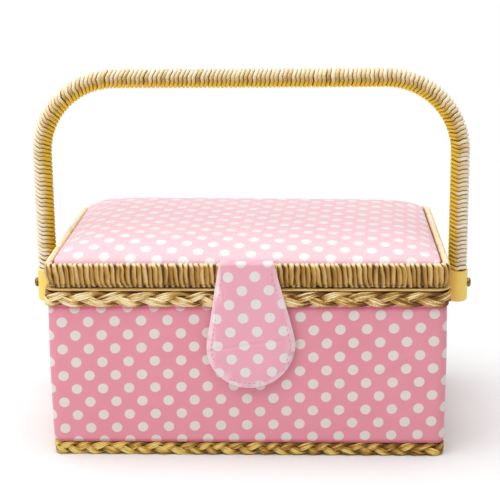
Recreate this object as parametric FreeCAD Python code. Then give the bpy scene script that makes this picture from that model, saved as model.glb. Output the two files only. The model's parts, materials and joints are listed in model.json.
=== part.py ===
import FreeCAD, Part
import math
import os

# Fabric-covered sewing box with a padded hinged lid, a cloth tab that closes it,
# a straw-wound carrying handle and a lift-out tray.
# Millimetres. X runs left to right, Y runs front to back, Z runs up.
# The origin is the middle of the underside, on the table.

Vector = FreeCAD.Vector
RIGHT = Vector(1, 0, 0)
BACK = Vector(0, 1, 0)
UP = Vector(0, 0, 1)

# Box, outside the fabric
BOX_WIDTH = 236.0
BOX_DEPTH = 156.0
BOX_CORNER = 5.0
WALL_TOP = 103.5

# Layers of the walls, from the outside in
COVER = 0.8
WADDING = 1.2
BOARD = 3.0
LINING = 0.7
LAYER_GAP = 0.1

# Base
BASE_SHEET = 0.8
FLOOR_PAD = 1.5
FLOOR_PAD_PLAY = 0.2

# Straw braids and the bound edge of the mouth
BASE_BRAID_HEIGHT = 9.2
BASE_BRAID_PROUD = 0.5
TOP_BRAID_HEIGHT = 10.4
TOP_BRAID = 1.8
BINDING = 1.0

# Lid
LID_OVERHANG = 2.0
LID_CORNER = 8.0
LID_GAP = 0.6
RIM_HEIGHT = 14.8
RIM_WIDTH = 5.0
RIM_STRAW = 1.3
RIM_PITCH = 4.0
RIM_RIB = 0.5
HOOP_PLAY = 0.1
LID_BOARD_RISE = 3.4
LID_LINING = 2.2
PAD_SIDE_BELOW_RIM = 1.2
CROWN = 8.0
CROWN_SHOULDER = 18.0
CROWN_SHOULDER_SHARE = 0.72
CROWN_SHOULDER_BULGE = 1.3
CROWN_END_RISE = 0.8
CROWN_END_RUN = 28.0
CROWN_SECTIONS = 5

# Cloth tab on the front of the lid
TAB_TOP_WIDTH = 32.0
TAB_ROUND = 26.3
TAB_DROP = 77.0
TAB_CLOTH = 0.7
TAB_STIFFENER = 1.0
TAB_OFF_RIM = 1.0
TAB_STIFFENER_INSET = 3.5
FOLD_RISE = 0.2
FOLD_PLAY = 0.15
MAGNET_RADIUS = 7.0
MAGNET = 1.3
MAGNET_ABOVE_TIP = 20.0
CATCH_PLAY = 0.3

# Hinges of the lid
HINGE_INSET = 48.0
HINGE_WIDTH = 24.0
HINGE_LEAF = 0.8
HINGE_LEAF_HEIGHT = 9.6
HINGE_PIN_RADIUS = 1.0
HINGE_PIN_END = 0.4
HINGE_PLAY = 0.05
KNUCKLE_PLAY = 0.2
SCREW_RADIUS = 0.9
SCREW_LENGTH = 4.2
SCREW_HEAD_RADIUS = 1.9
SCREW_HEAD = 0.8
SCREW_SPREAD = 7.5
SCREW_RISE = 6.6

# Handle
PIVOT_BELOW_WALL_TOP = 16.5
HANDLE_RISE = 131.5
HANDLE_BEND = 47.0
CORE_RADIUS = 3.8
STRAW_RADIUS = 1.2
STRAW_GAP = 0.2
STRAW_LOOPS = 24
STRAW_LEAD = 0.35
LEAST_STRAW_GAP = 0.4
SOCKET_RADIUS = 6.6
SOCKET_ABOVE_PIVOT = 8.5
SOCKET_BELOW_PIVOT = 11.5
SOCKET_FLOOR = 3.0
SOCKET_ROUND = 1.6
SOCKET_PLAY = 0.1
SPACER_LENGTH = 6.6
SPACER_RADIUS = 4.2
RIVET_RADIUS = 1.95
RIVET_PLAY = 0.05
RIVET_HEAD_RADIUS = 2.9
RIVET_HEAD = 1.8
RIVET_HEAD_ROUND = 1.4
RIVET_TAIL = 1.4
WASHER_RADIUS = 5.5
WASHER = 1.0
END_PLAY = 0.2

# Tray
TRAY_BELOW_WALL_TOP = 6.0
TRAY_HEIGHT = 26.0
TRAY_WALL = 1.6
TRAY_END_PLAY = 4.0
TRAY_SIDE_PLAY = 2.0
TRAY_CORNER = 4.0
TRAY_BACK_ROW = 52.0
TRAY_BACK_CELLS = 5
TRAY_FRONT_CELLS = 2
TRAY_RIB_BELOW_RIM = 2.0
LEDGE_WIDTH = 8.0
LEDGE_HEIGHT = 6.0
LEDGE_END_PLAY = 14.0

# Places that follow from the sizes above
COVER_INNER = COVER
WADDING_OUTER = COVER_INNER + LAYER_GAP
WADDING_INNER = WADDING_OUTER + WADDING
BOARD_OUTER = WADDING_INNER + LAYER_GAP
BOARD_INNER = BOARD_OUTER + BOARD
LINING_OUTER = BOARD_INNER + LAYER_GAP
LINING_INNER = LINING_OUTER + LINING
BOARD_BOTTOM = BASE_SHEET + LAYER_GAP
FLOOR_TOP = BOARD_BOTTOM + BOARD
FLOOR_PAD_BOTTOM = FLOOR_TOP + LAYER_GAP
BINDING_BOTTOM = WALL_TOP + LAYER_GAP
MOUTH = BINDING_BOTTOM + BINDING

LID_WIDTH = BOX_WIDTH + 2 * LID_OVERHANG
LID_DEPTH = BOX_DEPTH + 2 * LID_OVERHANG
LID_BOTTOM = MOUTH + LID_GAP
LID_TOP = LID_BOTTOM + RIM_HEIGHT
LID_INSIDE = RIM_WIDTH + LAYER_GAP
LID_BOARD_BOTTOM = LID_BOTTOM + LID_BOARD_RISE
PAD_BOTTOM = LID_BOARD_BOTTOM + BOARD + LAYER_GAP
PAD_SIDE_TOP = LID_TOP - PAD_SIDE_BELOW_RIM
PAD_INSIDE = LID_INSIDE + COVER + LAYER_GAP

KNUCKLE_RADIUS = HINGE_PIN_RADIUS + HINGE_PLAY + HINGE_LEAF
LEAF_FRONT = LID_DEPTH / 2 + LAYER_GAP
HINGE_Y = LEAF_FRONT + KNUCKLE_RADIUS
HINGE_Z = (MOUTH + LID_BOTTOM) / 2
HINGE_X = BOX_WIDTH / 2 - HINGE_INSET

PIVOT_Z = WALL_TOP - PIVOT_BELOW_WALL_TOP
LEG_X = BOX_WIDTH / 2 + END_PLAY + SPACER_LENGTH + END_PLAY + SOCKET_RADIUS
SOCKET_TOP = PIVOT_Z + SOCKET_ABOVE_PIVOT
SOCKET_BOTTOM = PIVOT_Z - SOCKET_BELOW_PIVOT
CORE_END = SOCKET_BOTTOM + SOCKET_FLOOR + SOCKET_PLAY
BAR_Z = PIVOT_Z + HANDLE_RISE
BEND_Z = BAR_Z - HANDLE_BEND
BEND_X = LEG_X - HANDLE_BEND
STRAW_PATH_RADIUS = CORE_RADIUS + STRAW_GAP + STRAW_RADIUS
RIVET_HOLE = RIVET_RADIUS + RIVET_PLAY

TAB_THICKNESS = 2 * TAB_CLOTH + TAB_STIFFENER + 2 * LAYER_GAP
TAB_BACK = -LID_DEPTH / 2 - TAB_OFF_RIM
TAB_FRONT = TAB_BACK - TAB_THICKNESS
FOLD_Y = (TAB_BACK + TAB_FRONT) / 2
FOLD_RADIUS = TAB_THICKNESS / 2
FOLD_Z = LID_TOP + FOLD_RISE + FOLD_RADIUS
TAB_TIP_Z = FOLD_Z - TAB_DROP
CATCH_PLATE = -TAB_BACK - BOX_DEPTH / 2 - MAGNET - CATCH_PLAY - 2 * LAYER_GAP

TRAY_TOP = WALL_TOP - TRAY_BELOW_WALL_TOP
TRAY_BOTTOM = TRAY_TOP - TRAY_HEIGHT
TRAY_WIDTH = BOX_WIDTH - 2 * (LINING_INNER + TRAY_END_PLAY)
TRAY_DEPTH = BOX_DEPTH - 2 * (LINING_INNER + TRAY_SIDE_PLAY)


def outline(width, depth, corner, z):
    """Closed outline of a rounded rectangle about the Z axis."""
    half_x = width / 2
    half_y = depth / 2
    if corner < LAYER_GAP:
        corners = [(-half_x, -half_y), (half_x, -half_y), (half_x, half_y), (-half_x, half_y)]
        points = [Vector(x, y, z) for x, y in corners]
        return Part.makePolygon(points + points[:1])
    inner_x = half_x - corner
    inner_y = half_y - corner
    slant = corner * math.sqrt(0.5)
    edges = []
    for sx, sy, along_x in ((1, -1, True), (1, 1, False), (-1, 1, True), (-1, -1, False)):
        middle = Vector(sx * (inner_x + slant), sy * (inner_y + slant), z)
        on_x_side = Vector(sx * inner_x, sy * half_y, z)
        on_y_side = Vector(sx * half_x, sy * inner_y, z)
        start, end = (on_x_side, on_y_side) if along_x else (on_y_side, on_x_side)
        edges.append(Part.Arc(start, middle, end).toShape())
    loop = []
    for index, arc in enumerate(edges):
        following = edges[(index + 1) % len(edges)]
        loop.append(arc)
        loop.append(Part.makeLine(arc.Vertexes[-1].Point, following.Vertexes[0].Point))
    return Part.Wire(loop)


def slab(width, depth, corner, bottom, top):
    face = Part.Face(outline(width, depth, corner, bottom))
    return face.extrude(UP * (top - bottom))


def box_slab(inset, bottom, top):
    """Slab with the plan of the box, drawn in by an inset."""
    return slab(BOX_WIDTH - 2 * inset, BOX_DEPTH - 2 * inset, BOX_CORNER - inset, bottom, top)


def box_ring(outer, inner, bottom, top):
    return box_slab(outer, bottom, top).cut(box_slab(inner, bottom, top))


def lid_slab(inset, bottom, top):
    """Slab with the plan of the lid, drawn in by an inset."""
    return slab(LID_WIDTH - 2 * inset, LID_DEPTH - 2 * inset, LID_CORNER - inset, bottom, top)


def rod(start, end, radius):
    along = end - start
    return Part.makeCylinder(radius, along.Length, start, along)


def rounded_end(shape, end, radius):
    """Round the rim of a rod at one of its ends."""
    rims = [edge for edge in shape.Edges if edge.Closed]
    nearest = min(rims, key=lambda edge: (edge.CenterOfMass - end).Length)
    return shape.makeFillet(radius, [nearest])


def block(x0, x1, y0, y1, z0, z1):
    corner = Vector(min(x0, x1), min(y0, y1), min(z0, z1))
    return Part.makeBox(abs(x1 - x0), abs(y1 - y0), abs(z1 - z0), corner)


def drill_pivots(shape):
    """Hole for the rivets through a layer of the side walls."""
    reach = BOX_WIDTH / 2
    return shape.cut(rod(Vector(-reach, 0, PIVOT_Z), Vector(reach, 0, PIVOT_Z), RIVET_HOLE))


def screw_places(up):
    """Places of the hinge screws on the leaf planes, above or below the hinge line."""
    places = []
    for side in (-1, 1):
        for offset in (-1, 1):
            x = side * HINGE_X + offset * SCREW_SPREAD
            places.append(Vector(x, LEAF_FRONT + HINGE_LEAF, HINGE_Z + up * SCREW_RISE))
    return places


def drill_screws(shape, up):
    for place in screw_places(up):
        end = place - BACK * (SCREW_LENGTH + 2 * HINGE_LEAF)
        shape = shape.cut(rod(place, end, SCREW_RADIUS + HINGE_PLAY))
    return shape


# Box
def base_sheet():
    return box_slab(BOARD_OUTER, 0, BASE_SHEET)


def base_board():
    return box_slab(BOARD_INNER + LAYER_GAP, BOARD_BOTTOM, FLOOR_TOP)


def front_board():
    whole = box_slab(BOARD_OUTER, BOARD_BOTTOM, WALL_TOP)
    inner = -BOX_DEPTH / 2 + BOARD_INNER
    return whole.common(block(-BOX_WIDTH, BOX_WIDTH, -BOX_DEPTH, inner, 0, WALL_TOP))


def back_board():
    turned = front_board().rotated(Vector(), UP, 180)
    return drill_screws(turned, -1)


def right_board():
    outer = BOX_WIDTH / 2 - BOARD_OUTER
    half_depth = BOX_DEPTH / 2 - BOARD_INNER
    return drill_pivots(block(outer - BOARD, outer, -half_depth, half_depth, BOARD_BOTTOM, WALL_TOP))


def left_board():
    return right_board().rotated(Vector(), UP, 180)


def wall_wadding():
    ring = box_ring(WADDING_OUTER, WADDING_INNER, BASE_BRAID_HEIGHT + LAYER_GAP, WALL_TOP)
    return drill_screws(drill_pivots(ring), -1)


def body_cover():
    ring = box_ring(0, COVER_INNER, BASE_BRAID_HEIGHT + LAYER_GAP, WALL_TOP)
    return drill_screws(drill_pivots(ring), -1)


def base_braid():
    return box_ring(-BASE_BRAID_PROUD, BOARD_OUTER - LAYER_GAP, 0, BASE_BRAID_HEIGHT)


def top_braid():
    outer = -LAYER_GAP - TOP_BRAID
    return drill_screws(box_ring(outer, -LAYER_GAP, MOUTH - TOP_BRAID_HEIGHT, MOUTH), -1)


def mouth_binding():
    return box_ring(0, LINING_INNER, BINDING_BOTTOM, MOUTH)


def wall_lining():
    return drill_pivots(box_ring(LINING_OUTER, LINING_INNER, FLOOR_PAD_BOTTOM, WALL_TOP))


def floor_pad():
    return box_slab(LINING_INNER + FLOOR_PAD_PLAY, FLOOR_PAD_BOTTOM, FLOOR_PAD_BOTTOM + FLOOR_PAD)


def tray_ledge(side):
    """Wooden strip glued to the lining of an end wall, under the tray."""
    outer = side * (BOX_WIDTH / 2 - LINING_INNER - LAYER_GAP)
    inner = outer - side * LEDGE_WIDTH
    half_depth = BOX_DEPTH / 2 - LINING_INNER - LEDGE_END_PLAY
    top = TRAY_BOTTOM - LAYER_GAP
    return block(inner, outer, -half_depth, half_depth, top - LEDGE_HEIGHT, top)


def catch_plate():
    """Steel disc on the front wall that the tab's magnet pulls to."""
    wall = Vector(0, -BOX_DEPTH / 2 - LAYER_GAP, TAB_TIP_Z + MAGNET_ABOVE_TIP)
    return rod(wall, wall - BACK * CATCH_PLATE, MAGNET_RADIUS)


# Hinges
def knuckle(x0, x1):
    return rod(Vector(x0, HINGE_Y, HINGE_Z), Vector(x1, HINGE_Y, HINGE_Z), KNUCKLE_RADIUS)


def knuckle_span(x_middle, on_lid):
    """Ends of the knuckles of one leaf: the lid has the middle one, the box the outer two."""
    half = HINGE_WIDTH / 2
    inner = HINGE_WIDTH / 6
    play = KNUCKLE_PLAY / 2
    if on_lid:
        return [(x_middle - inner + play, x_middle + inner - play)]
    return [(x_middle - half, x_middle - inner - play), (x_middle + inner + play, x_middle + half)]


def hinge_leaf(side, on_lid):
    """Plate with its knuckles, bored for the pin and drilled for two screws."""
    x_middle = side * HINGE_X
    up = 1 if on_lid else -1
    near = HINGE_Z + up * (KNUCKLE_RADIUS + KNUCKLE_PLAY)
    far = near + up * HINGE_LEAF_HEIGHT
    back = LEAF_FRONT + HINGE_LEAF
    leaf = block(x_middle - HINGE_WIDTH / 2, x_middle + HINGE_WIDTH / 2, LEAF_FRONT, back, near, far)
    for x0, x1 in knuckle_span(x_middle, on_lid):
        leaf = leaf.fuse(block(x0, x1, LEAF_FRONT, back, HINGE_Z, near)).fuse(knuckle(x0, x1))
    pin_start = Vector(x_middle - HINGE_WIDTH, HINGE_Y, HINGE_Z)
    leaf = leaf.cut(rod(pin_start, pin_start + RIGHT * 2 * HINGE_WIDTH, HINGE_PIN_RADIUS + HINGE_PLAY))
    return drill_screws(leaf, up).removeSplitter()


def hinge_pin(side):
    half = HINGE_WIDTH / 2 + HINGE_PIN_END
    middle = Vector(side * HINGE_X, HINGE_Y, HINGE_Z)
    return rod(middle - RIGHT * half, middle + RIGHT * half, HINGE_PIN_RADIUS)


def hinge_screw(place):
    """Round-headed screw whose head sits on the back of a leaf."""
    tip = place - BACK * (HINGE_LEAF + SCREW_LENGTH)
    head_end = place + BACK * SCREW_HEAD
    head = rounded_end(rod(place, head_end, SCREW_HEAD_RADIUS), head_end, SCREW_HEAD / 2)
    return head.fuse(rod(tip, place, SCREW_RADIUS))


# Handle pivots
def rivet(side):
    """Round-headed rivet from outside the socket to the washer on the inner wall."""
    head_x = LEG_X + SOCKET_RADIUS + END_PLAY
    washer_x = BOX_WIDTH / 2 - LINING_INNER - END_PLAY - WASHER
    shank_end = Vector(washer_x - RIVET_TAIL, 0, PIVOT_Z)
    shank = rod(shank_end, Vector(head_x, 0, PIVOT_Z), RIVET_RADIUS)
    head_end = Vector(head_x + RIVET_HEAD, 0, PIVOT_Z)
    head = rod(Vector(head_x, 0, PIVOT_Z), head_end, RIVET_HEAD_RADIUS)
    head = rounded_end(head, head_end, RIVET_HEAD_ROUND)
    tail = rod(shank_end, Vector(washer_x, 0, PIVOT_Z), RIVET_HEAD_RADIUS)
    return mirrored_to(shank.fuse([head, tail]).removeSplitter(), side)


def mirrored_to(shape, side):
    return shape if side > 0 else shape.mirror(Vector(), RIGHT)


def spacer(side):
    start = Vector(BOX_WIDTH / 2 + END_PLAY, 0, PIVOT_Z)
    end = start + RIGHT * SPACER_LENGTH
    return mirrored_to(rod(start, end, SPACER_RADIUS).cut(rod(start, end, RIVET_HOLE)), side)


def washer(side):
    start = Vector(BOX_WIDTH / 2 - LINING_INNER - END_PLAY, 0, PIVOT_Z)
    end = start - RIGHT * WASHER
    return mirrored_to(rod(start, end, WASHER_RADIUS).cut(rod(start, end, RIVET_HOLE)), side)


# Handle
def core_half():
    """Right half of the core rod: leg, bend and half of the bar."""
    leg = rod(Vector(LEG_X, 0, CORE_END), Vector(LEG_X, 0, BEND_Z), CORE_RADIUS)
    section = Part.Face(Part.Wire(Part.makeCircle(CORE_RADIUS, Vector(LEG_X, 0, BEND_Z), UP)))
    bend = section.revolve(Vector(BEND_X, 0, BEND_Z), BACK * -1, 90)
    bar = rod(Vector(0, 0, BAR_Z), Vector(BEND_X, 0, BAR_Z), CORE_RADIUS)
    return [leg, bend, bar]


def handle_core():
    halves = core_half() + [mirrored_to(piece, -1) for piece in core_half()]
    core = halves[0].fuse(halves[1:]).removeSplitter()
    hole_end = Vector(2 * LEG_X, 0, PIVOT_Z)
    return core.cut(rod(Vector(-2 * LEG_X, 0, PIVOT_Z), hole_end, RIVET_HOLE))


def socket(side):
    """Plastic cup on the end of the handle, bored for the core rod and across for the rivet."""
    foot = Vector(LEG_X, 0, SOCKET_BOTTOM)
    cup = rounded_end(rod(foot, Vector(LEG_X, 0, SOCKET_TOP), SOCKET_RADIUS), foot, SOCKET_ROUND)
    cup = cup.cut(rod(Vector(LEG_X, 0, SOCKET_BOTTOM + SOCKET_FLOOR), Vector(LEG_X, 0, BAR_Z),
                      CORE_RADIUS + SOCKET_PLAY))
    cup = cup.cut(rod(Vector(0, 0, PIVOT_Z), Vector(2 * LEG_X, 0, PIVOT_Z), RIVET_HOLE))
    return mirrored_to(cup, side)


STRAW_END = 2 * STRAW_RADIUS
STRAW_LEG = BEND_Z - SOCKET_TOP - STRAW_END - LAYER_GAP
STRAW_BEND = HANDLE_BEND * math.pi / 2
STRAW_RUN = 2 * STRAW_LEG + 2 * STRAW_BEND + 2 * BEND_X


def handle_line(distance):
    """Middle line of the handle above the straw's start, with its outward direction."""
    if distance > STRAW_RUN / 2:
        point, outward = handle_line(STRAW_RUN - distance)
        return Vector(-point.x, 0, point.z), Vector(-outward.x, 0, outward.z)
    if distance < STRAW_LEG:
        return Vector(LEG_X, 0, BEND_Z - STRAW_LEG + distance), Vector(1, 0, 0)
    angle = (distance - STRAW_LEG) / HANDLE_BEND
    if angle < math.pi / 2:
        outward = Vector(math.cos(angle), 0, math.sin(angle))
        return Vector(BEND_X, 0, BEND_Z) + outward * HANDLE_BEND, outward
    past = distance - STRAW_LEG - STRAW_BEND
    return Vector(BEND_X - past, 0, BAR_Z), Vector(0, 0, 1)


def straw_point(distance):
    """Point on the helix that the straw takes round the handle."""
    point, outward = handle_line(distance)
    turn = 2 * math.pi * STRAW_LOOPS * distance / STRAW_RUN
    return point + (outward * math.cos(turn) + BACK * math.sin(turn)) * STRAW_PATH_RADIUS


def straw_direction(distance):
    step = STRAW_RADIUS / 100
    return (straw_point(distance + step) - straw_point(distance - step)).normalize()


def tangent_arc(start, direction, end):
    """Arc from a point, leaving it in a direction, to another point."""
    chord = end - start
    along = Vector(chord).normalize()
    across = direction - along * direction.dot(along)
    swing = math.atan2(across.Length, direction.dot(along))
    middle = (start + end) * 0.5 + across.normalize() * (chord.Length / 2 * math.tan(swing / 2))
    return Part.Arc(start, middle, end).toShape()


def biarc(start, start_direction, end, end_direction):
    """Two arcs that leave and reach two points in given directions and meet without a corner."""
    chord = end - start
    spread = 2 * (1 - start_direction.dot(end_direction))
    lean = chord.dot(start_direction + end_direction)
    reach = (math.sqrt(lean * lean + 2 * spread * chord.dot(chord)) - lean) / (2 * spread) * 2
    joint = (start + end + (start_direction - end_direction) * (reach / 2)) * 0.5
    first = tangent_arc(start, start_direction, joint)
    second = tangent_arc(end, end_direction * -1, joint)
    return [first, Part.Edge(second.reversed())]


def handle_winding():
    """Straw wound round the core in open loops, one unbroken tube with straight ends on the sockets."""
    quarter = STRAW_RUN / (4 * STRAW_LOOPS)
    stations = [quarter * index for index in range(4 * STRAW_LOOPS + 1)]
    lead = quarter * STRAW_LEAD
    stations = [0, lead] + stations[1:-1] + [STRAW_RUN - lead, STRAW_RUN]
    points = [straw_point(distance) for distance in stations]
    directions = [straw_direction(distance) for distance in stations]
    directions[0] = UP
    directions[-1] = UP * -1
    edges = [Part.makeLine(points[0] - UP * STRAW_END, points[0])]
    for index in range(len(points) - 1):
        edges += biarc(points[index], directions[index], points[index + 1], directions[index + 1])
    edges.append(Part.makeLine(points[-1], points[-1] - UP * STRAW_END))
    path = Part.Wire(edges)
    section = Part.Wire(Part.makeCircle(STRAW_RADIUS, points[0] - UP * STRAW_END, UP))
    print("least gap of the straw to itself:", round(straw_gap(), 2))
    return path.makePipeShell([section], True, False)


def straw_gap():
    """Least gap between one loop of the straw and the loops beside it, measured on points."""
    per_loop = 32
    samples = per_loop * STRAW_LOOPS
    points = [straw_point(STRAW_RUN * index / samples) for index in range(samples + 1)]
    nearest = STRAW_RUN
    for index, point in enumerate(points):
        for other in points[index + per_loop // 2:index + 2 * per_loop]:
            nearest = min(nearest, (point - other).Length)
    gap = nearest - 2 * STRAW_RADIUS
    if gap < LEAST_STRAW_GAP:
        raise ValueError("the loops of straw come too close")
    return gap


# Lid
def lid_board():
    return lid_slab(LID_INSIDE, LID_BOARD_BOTTOM, LID_BOARD_BOTTOM + BOARD)


def rim_outline():
    """Plan of the rim's outer face: a rib of straw on every stretch of one pitch."""
    around = outline(LID_WIDTH - 2 * RIM_RIB, LID_DEPTH - 2 * RIM_RIB, LID_CORNER - RIM_RIB, LID_BOTTOM)
    count = 4 * round(around.Length / RIM_PITCH / 4)
    valleys = around.discretize(Number=2 * count + 1)
    edges = []
    for index in range(count):
        start, middle, end = valleys[2 * index:2 * index + 3]
        along = (end - start).normalize()
        outward = along.cross(UP)
        edges.append(Part.Arc(start, middle + outward * RIM_RIB, end).toShape())
    return Part.Wire(edges)


def lid_rim():
    """Straw bound round the hoop: ribbed outside, open on the inside where the hoop shows to the board."""
    rim = Part.Face(rim_outline()).extrude(UP * RIM_HEIGHT)
    rim = rim.cut(lid_slab(RIM_WIDTH, LID_BOTTOM, LID_TOP))
    channel = RIM_STRAW + RIM_RIB
    rim = rim.cut(lid_slab(channel, LID_BOTTOM + RIM_STRAW, LID_TOP - RIM_STRAW))
    return drill_screws(rim, 1)


def lid_hoop():
    outer = RIM_STRAW + RIM_RIB + HOOP_PLAY
    bottom = LID_BOTTOM + RIM_STRAW + HOOP_PLAY
    top = LID_TOP - RIM_STRAW - HOOP_PLAY
    return drill_screws(lid_slab(outer, bottom, top).cut(lid_slab(RIM_WIDTH, bottom, top)), 1)


def crown_section(x, half_depth, bottom, side_top, rise):
    """Section of the pad across the lid: sides, two shoulders and a flat crown between them."""
    shoulder_y = half_depth - CROWN_SHOULDER
    shoulder_z = side_top + rise * CROWN_SHOULDER_SHARE
    bulge = CROWN_SHOULDER_BULGE * rise / CROWN
    half_shoulder = Vector(x, half_depth - CROWN_SHOULDER / 2, (side_top + shoulder_z) / 2 + bulge)
    top = Vector(x, 0, side_top + rise)
    corner = Vector(x, half_depth, side_top)
    shoulder = Vector(x, shoulder_y, shoulder_z)

    def front(point):
        return Vector(point.x, -point.y, point.z)

    foot = Vector(x, half_depth, bottom)
    return Part.Wire([
        Part.makeLine(front(foot), front(corner)),
        Part.Arc(front(corner), front(half_shoulder), front(shoulder)).toShape(),
        Part.Arc(front(shoulder), top, shoulder).toShape(),
        Part.Arc(shoulder, half_shoulder, corner).toShape(),
        Part.makeLine(corner, foot),
        Part.makeLine(foot, front(foot)),
    ])


def crowned(inset, bottom, side_top):
    """Crowned block that fills the lid inside its rim: low at the ends, flat over the middle."""
    half_width = LID_WIDTH / 2 - inset
    half_depth = LID_DEPTH / 2 - inset
    stations = []
    for index in range(CROWN_SECTIONS):
        share = index / (CROWN_SECTIONS - 1)
        rise = CROWN_END_RISE + (CROWN - CROWN_END_RISE) * math.sin(share * math.pi / 2)
        stations.append((half_width - share * CROWN_END_RUN, rise))
    right = [crown_section(x, half_depth, bottom, side_top, rise) for x, rise in stations]
    left = [crown_section(-x, half_depth, bottom, side_top, rise) for x, rise in stations]
    block_of_foam = Part.makeLoft(left + right[::-1], True, True)
    return block_of_foam.common(lid_slab(inset, bottom, LID_TOP + 2 * CROWN))


def lid_pad():
    return crowned(PAD_INSIDE, PAD_BOTTOM, PAD_SIDE_TOP - COVER - LAYER_GAP)


def lid_cover():
    """Fabric over the pad, tucked down inside the rim to the board."""
    inside = crowned(PAD_INSIDE - LAYER_GAP, PAD_BOTTOM, PAD_SIDE_TOP - COVER)
    return crowned(LID_INSIDE, PAD_BOTTOM, PAD_SIDE_TOP).cut(inside)


def lid_lining():
    top = LID_BOARD_BOTTOM - LAYER_GAP
    return lid_slab(LID_INSIDE, top - LID_LINING, top)


# Tab
def tab_outline(y, inset, top):
    """Outline of the tab: straight sides that spread to a round end."""
    radius = TAB_ROUND - inset
    centre_z = TAB_TIP_Z + TAB_ROUND
    half_top = TAB_TOP_WIDTH / 2 - inset
    height = top - centre_z
    reach = math.hypot(half_top, height)
    touch = math.atan2(height, half_top) - math.acos(radius / reach)
    side_x = radius * math.cos(touch)
    side_z = centre_z + radius * math.sin(touch)
    upper_right = Vector(half_top, y, top)
    upper_left = Vector(-half_top, y, top)
    right = Vector(side_x, y, side_z)
    left = Vector(-side_x, y, side_z)
    return Part.Wire([
        Part.makeLine(upper_left, upper_right),
        Part.makeLine(upper_right, right),
        Part.Arc(right, Vector(0, y, centre_z - radius), left).toShape(),
        Part.makeLine(left, upper_left),
    ])


def tab_layer(front, thickness, inset):
    face = Part.Face(tab_outline(front, inset, FOLD_Z - inset))
    return face.extrude(BACK * thickness)


def fold_roll(radius):
    half = RIGHT * (TAB_TOP_WIDTH / 2)
    middle = Vector(0, FOLD_Y, FOLD_Z)
    return rod(middle - half, middle + half, radius)


def flap_face():
    """Outer cloth of the tab, with the roll that it makes at the fold."""
    inner_roll = FOLD_RADIUS - TAB_CLOTH
    roll = fold_roll(FOLD_RADIUS).cut(fold_roll(inner_roll))
    roll = roll.cut(block(-TAB_TOP_WIDTH, TAB_TOP_WIDTH, FOLD_Y, 0, FOLD_Z - FOLD_RADIUS, FOLD_Z))
    return tab_layer(TAB_FRONT, TAB_CLOTH, 0).fuse(roll).removeSplitter()


def flap_stiffener():
    return tab_layer(TAB_FRONT + TAB_CLOTH + LAYER_GAP, TAB_STIFFENER, TAB_STIFFENER_INSET)


def flap_backing():
    return tab_layer(TAB_BACK - TAB_CLOTH, TAB_CLOTH, 0).cut(fold_roll(FOLD_RADIUS + LAYER_GAP))


def flap_magnet():
    back = Vector(0, TAB_BACK + LAYER_GAP, TAB_TIP_Z + MAGNET_ABOVE_TIP)
    return rod(back, back + BACK * MAGNET, MAGNET_RADIUS)


def flap_root():
    """Cloth strip from under the lid's cover over the rim to the fold of the tab."""
    bottom = LID_TOP + FOLD_RISE
    top = bottom + 2 * TAB_CLOTH
    inner = -LID_DEPTH / 2 + LID_INSIDE - LAYER_GAP
    return block(-TAB_TOP_WIDTH / 2, TAB_TOP_WIDTH / 2, TAB_BACK + FOLD_PLAY, inner, bottom, top)


# Tray
def tray():
    """Moulded tray: a long back row of bobbin cells and two larger cells in front."""
    shell = slab(TRAY_WIDTH, TRAY_DEPTH, TRAY_CORNER, TRAY_BOTTOM, TRAY_TOP)
    inner_width = TRAY_WIDTH - 2 * TRAY_WALL
    inner_depth = TRAY_DEPTH - 2 * TRAY_WALL
    floor = TRAY_BOTTOM + TRAY_WALL
    hollow = slab(inner_width, inner_depth, TRAY_CORNER - TRAY_WALL, floor, TRAY_TOP)
    shell = shell.cut(hollow)
    rib_top = TRAY_TOP - TRAY_RIB_BELOW_RIM
    row_y = inner_depth / 2 - TRAY_BACK_ROW
    ribs = [block(-inner_width / 2, inner_width / 2, row_y - TRAY_WALL, row_y, floor, rib_top)]
    rows = (
        (TRAY_BACK_CELLS, row_y, inner_depth / 2),
        (TRAY_FRONT_CELLS, -inner_depth / 2, row_y),
    )
    for cells, y0, y1 in rows:
        for index in range(1, cells):
            x = -inner_width / 2 + inner_width * index / cells
            ribs.append(block(x - TRAY_WALL / 2, x + TRAY_WALL / 2, y0, y1, floor, rib_top))
    return shell.fuse(ribs).removeSplitter()


SIDES = {"left": -1, "right": 1}


def all_parts():
    parts = {
        "base_sheet": base_sheet(),
        "base_board": base_board(),
        "front_board": front_board(),
        "back_board": back_board(),
        "left_board": left_board(),
        "right_board": right_board(),
        "wall_wadding": wall_wadding(),
        "body_cover": body_cover(),
        "base_braid": base_braid(),
        "top_braid": top_braid(),
        "mouth_binding": mouth_binding(),
        "wall_lining": wall_lining(),
        "floor_pad": floor_pad(),
        "catch_plate": catch_plate(),
        "handle_core": handle_core(),
        "handle_winding": handle_winding(),
        "lid_board": lid_board(),
        "lid_rim": lid_rim(),
        "lid_hoop": lid_hoop(),
        "lid_pad": lid_pad(),
        "lid_cover": lid_cover(),
        "lid_lining": lid_lining(),
        "flap_root": flap_root(),
        "flap_face": flap_face(),
        "flap_stiffener": flap_stiffener(),
        "flap_backing": flap_backing(),
        "flap_magnet": flap_magnet(),
        "tray": tray(),
    }
    for name, side in SIDES.items():
        parts[name + "_tray_ledge"] = tray_ledge(side)
        parts[name + "_hinge_box_leaf"] = hinge_leaf(side, False)
        parts[name + "_hinge_lid_leaf"] = hinge_leaf(side, True)
        parts[name + "_hinge_pin"] = hinge_pin(side)
        parts[name + "_rivet"] = rivet(side)
        parts[name + "_spacer"] = spacer(side)
        parts[name + "_washer"] = washer(side)
        parts[name + "_socket"] = socket(side)
    for leaf, up in (("box", -1), ("lid", 1)):
        for place, name in zip(screw_places(up), ("left_a", "left_b", "right_a", "right_b")):
            parts["hinge_" + leaf + "_screw_" + name] = hinge_screw(place)
    return parts


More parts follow.
